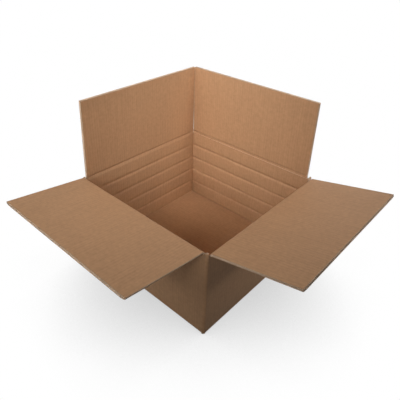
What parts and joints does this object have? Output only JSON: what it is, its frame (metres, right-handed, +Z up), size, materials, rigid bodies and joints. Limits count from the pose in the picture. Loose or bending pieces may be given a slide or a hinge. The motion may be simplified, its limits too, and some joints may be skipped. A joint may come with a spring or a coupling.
{
  "type": "open cardboard box",
  "caption": "Square corrugated cardboard box with hinged top flaps, open at the top for packing goods, with cut-down creases pressed round its inner walls.",
  "frame": {"origin": "middle of the footprint, on the surface that the box stands on", "axes": "+Z up; +X towards the right wall, whose flap is folded out; +Y towards the back wall, whose flap stands upright"},
  "size_m": [0.6993, 0.6911, 0.4934],
  "materials": {
    "kraft_board": "uncoated brown kraft liner over double-wall corrugated board, matt, with faint flute lines"
  },
  "bodies": {
    "carton": {"carton": "kraft_board"},
    "front_flap": {"front_flap": "kraft_board"},
    "back_flap": {"back_flap": "kraft_board"},
    "left_flap": {"left_flap": "kraft_board"},
    "right_flap": {"right_flap": "kraft_board"}
  },
  "joints": [
    {"name": "front_fold", "type": "hinge", "parent": "carton", "child": "front_flap", "pos_m": [0, -0.2324, 0.2662], "axis": [-1, 0, 0], "range_deg": [-86.8, 173.2]},
    {"name": "back_fold", "type": "hinge", "parent": "carton", "child": "back_flap", "pos_m": [0, 0.2324, 0.2662], "axis": [1, 0, 0], "range_deg": [-171.2, 88.8]},
    {"name": "left_fold", "type": "hinge", "parent": "carton", "child": "left_flap", "pos_m": [-0.2349, 0, 0.259], "axis": [0, 1, 0], "range_deg": [-171.2, 88.8]},
    {"name": "right_fold", "type": "hinge", "parent": "carton", "child": "right_flap", "pos_m": [0.2349, 0, 0.259], "axis": [0, -1, 0], "range_deg": [-92.6, 167.4]}
  ]
}
